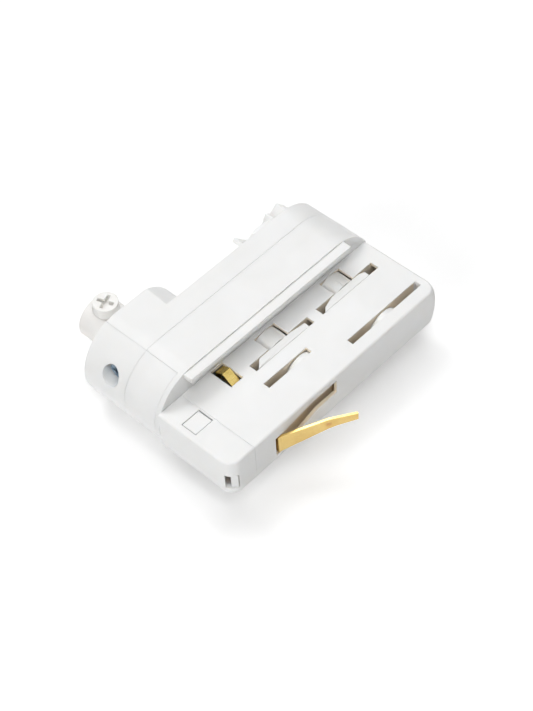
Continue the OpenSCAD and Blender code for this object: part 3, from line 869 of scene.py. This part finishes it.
@dataclass
class Rotor(SubAssembly):
    """A contact rotor with its blade, ring, control and screw."""

    lead: str = "neutral"
    control: str = "neutral_dial"
    screw: str = "dial_screw"
    edge: Rounding = Rounding.MOULDED

    def build(self) -> None:
        """Builds the rotor's pieces."""
        self.rounded(f"{self.lead}_rotor", Slot.ROTOR, Rounding.CRISP, above=0.0)
        self.rounded(f"{self.lead}_blade", Slot.CONTACT, Rounding.CRISP)
        self.keep(f"{self.lead}_ring", Slot.SPRING)
        self.rounded(self.control, Slot.BODY, self.edge)
        self.rounded(self.screw, Slot.ZINC, Rounding.CRISP)


@dataclass
class Spring(SubAssembly):
    """A sprung contact strip that stands out of the slab."""

    node: str = "earth_spring"
    slot: Slot = Slot.SPRING
    finish: Finish = EARTH_BRASS

    def build(self) -> None:
        """Builds the strip."""
        self.rounded(self.node, self.slot, Rounding.CRISP, self.finish)


@dataclass
class NippleClamp(SubAssembly):
    """Nylon screw that holds the nipple."""

    body: str = "nipple_clamp"

    def build(self) -> None:
        """Builds the screw."""
        self.rounded("nipple_clamp_screw", Slot.NYLON, Rounding.SOFT)


@dataclass(frozen=True)
class Softbox:
    """A square lamp that faces the object, with its place and edge in metres."""

    name: str
    spot: Point
    watts: float
    size: float = 0.8

    def hang(self) -> None:
        """Hangs the lamp in its place."""
        data = bpy.data.lights.new(self.name, "AREA")
        data.size = self.size
        data.energy = self.watts
        lamp = bpy.data.objects.new(self.name, data)
        bpy.context.scene.collection.objects.link(lamp)
        lamp.location = self.spot
        lamp.rotation_euler = (-Vector(self.spot)).to_track_quat("-Z", "Y").to_euler()


@dataclass
class Studio:
    """Camera, lights, world and floor of the photograph; lengths in metres unless named otherwise."""

    place: Point = (-0.28302, 0.48640, 0.30097)
    right: Point = (0.68440, -0.05179, 0.72778)
    down: Point = (-0.58218, -0.63942, 0.50241)
    ahead: Point = (0.43933, -0.76747, -0.46774)
    focal_px: float = 1908.75
    height_px: int = 711
    sensor_mm: float = 36.0
    clip_start: float = 0.01
    lamps: tuple[Softbox, ...] = (
        Softbox("left_softbox", (-1.3, 0.6, 0.1), 8.3),
        Softbox("back_softbox", (0.2, 1.3, -0.9), 8.0),
        Softbox("top_softbox", (0.7, 1.45, -0.4), 7.2),
        Softbox("near_softbox", (-0.3, 1.5, 0.5), 7.9),
        Softbox("front_softbox", (0.1, 0.9, 1.2), 2.1),
    )
    light_above: float = 0.03
    light_below: float = 0.7
    horizon: Span = (0.0, -0.05)
    floor_y: float = -0.01722
    floor_size: float = 6.0
    paper: float = 0.93
    glow: float = 0.2
    lit_gap: float = 0.011

    def camera(self) -> None:
        """Sets up the camera where the photograph was taken."""
        data = bpy.data.cameras.new("photo_camera")
        data.sensor_width = self.sensor_mm
        data.lens = self.focal_px / self.height_px * self.sensor_mm
        data.clip_start = self.clip_start
        camera = bpy.data.objects.new("photo_camera", data)
        bpy.context.scene.collection.objects.link(camera)
        up, back = -Vector(self.down), -Vector(self.ahead)
        turn = Matrix((Vector(self.right), up, back)).transposed()
        camera.matrix_world = Matrix.Translation(self.place) @ turn.to_4x4()
        bpy.context.scene.camera = camera

    def world(self) -> None:
        """Makes a pale surround that is white to the eye.

        It gives little light from above, and more from under the floor for the side that the adapter lies on.
        """
        world = bpy.data.worlds.new("pale_room")
        bpy.context.scene.world = world
        world.use_nodes = True
        graph = Graph(world.node_tree)
        light = graph.add("ShaderNodeBackground", Color=(1.0, 1.0, 1.0, 1.0))
        split = graph.add("ShaderNodeSeparateXYZ")
        graph.link(graph.add("ShaderNodeTexCoord").outputs["Generated"], split.inputs["Vector"])
        level = graph.ramp(split.outputs["Y"], self.horizon, (self.light_above, self.light_below))
        graph.link(level, light.inputs["Strength"])
        white = graph.add("ShaderNodeBackground", Color=(1.0, 1.0, 1.0, 1.0), Strength=1.0)
        mix = graph.add("ShaderNodeMixShader")
        output = graph.add("ShaderNodeOutputWorld")
        graph.link(self.seen(graph), mix.inputs[0])
        graph.link(light.outputs[0], mix.inputs[1])
        graph.link(white.outputs[0], mix.inputs[2])
        graph.link(mix.outputs[0], output.inputs["Surface"])

    @staticmethod
    def seen(graph: Graph) -> Socket:
        """Tells rays that show the background to the eye, straight or in gloss or glass.

        Args:
            graph: the graph of the world or the floor.

        Returns:
            A socket with 1 for such rays and 0 for others.
        """
        path = graph.add("ShaderNodeLightPath")
        gloss = graph.math("MAXIMUM", path.outputs["Is Glossy Ray"], path.outputs["Is Transmission Ray"])
        return graph.math("MAXIMUM", path.outputs["Is Camera Ray"], gloss)

    def floor(self) -> None:
        """Lays the pale floor under the side that the adapter lies on."""
        deselect()
        bpy.ops.mesh.primitive_plane_add(size=self.floor_size, location=(0.0, self.floor_y, 0.0),
                                         rotation=(-math.pi / 2, 0.0, 0.0))
        plane = bpy.context.object
        plane.name = "paper_floor"
        bpy.ops.object.transform_apply(location=True, rotation=True, scale=True)
        plane.data.materials.append(self.floor_paper())

    def floor_paper(self) -> bpy.types.Material:
        """Makes the floor's paper, which is white to the eye where nothing shades it.

        It is clear from below, and to scattered rays that start close above it, so that light from under the floor
        reaches the side that the adapter lies on.

        Returns:
            The material.
        """
        paper = bpy.data.materials.new("paper_floor")
        paper.use_nodes = True
        graph = Graph(paper.node_tree)
        sheet = graph.add("ShaderNodeBsdfDiffuse", Color=(self.paper, self.paper, self.paper, 1.0))
        light = graph.add("ShaderNodeEmission", Color=(1.0, 1.0, 1.0, 1.0))
        graph.link(graph.math("MULTIPLY", self.seen(graph), self.glow), light.inputs["Strength"])
        both = graph.add("ShaderNodeAddShader")
        graph.link(sheet.outputs[0], both.inputs[0])
        graph.link(light.outputs[0], both.inputs[1])
        clear = graph.add("ShaderNodeBsdfTransparent")
        side = graph.add("ShaderNodeMixShader")
        path = graph.add("ShaderNodeLightPath")
        close = graph.math("LESS_THAN", path.outputs["Ray Length"], self.lit_gap)
        under = graph.math("MULTIPLY", path.outputs["Is Diffuse Ray"], close)
        behind = graph.add("ShaderNodeNewGeometry").outputs["Backfacing"]
        graph.link(graph.math("MAXIMUM", behind, under), side.inputs[0])
        graph.link(both.outputs[0], side.inputs[1])
        graph.link(clear.outputs[0], side.inputs[2])
        output = graph.add("ShaderNodeOutputMaterial")
        graph.link(side.outputs[0], output.inputs["Surface"])
        return paper

    def build(self) -> None:
        """Sets up the whole studio."""
        bpy.context.scene.view_settings.view_transform = "Standard"
        self.camera()
        self.world()
        for lamp in self.lamps:
            lamp.hang()
        self.floor()


def main() -> None:
    """Builds every sub-assembly and the studio."""
    logging.basicConfig(level=logging.INFO, format="%(name)s: %(message)s")
    assemblies: list[SubAssembly] = [
        Housing(),
        NippleBoss(),
        Rotor(body="neutral_lock"),
        Rotor(body="phase_lock", lead="phase", control="selector_knob", screw="knob_screw", edge=Rounding.SOFT),
        Spring(body="earth_contact"),
        Spring(body="side_spring", node="side_contact", slot=Slot.CONTACT, finish=CONTACT_BRASS),
        NippleClamp(),
    ]
    for assembly in assemblies:
        assembly.build()
        LOG.info("%s: %d pieces", assembly.body, len(assembly.made))
    Studio().build()
    deselect()


if __name__ == "__main__":
    main()
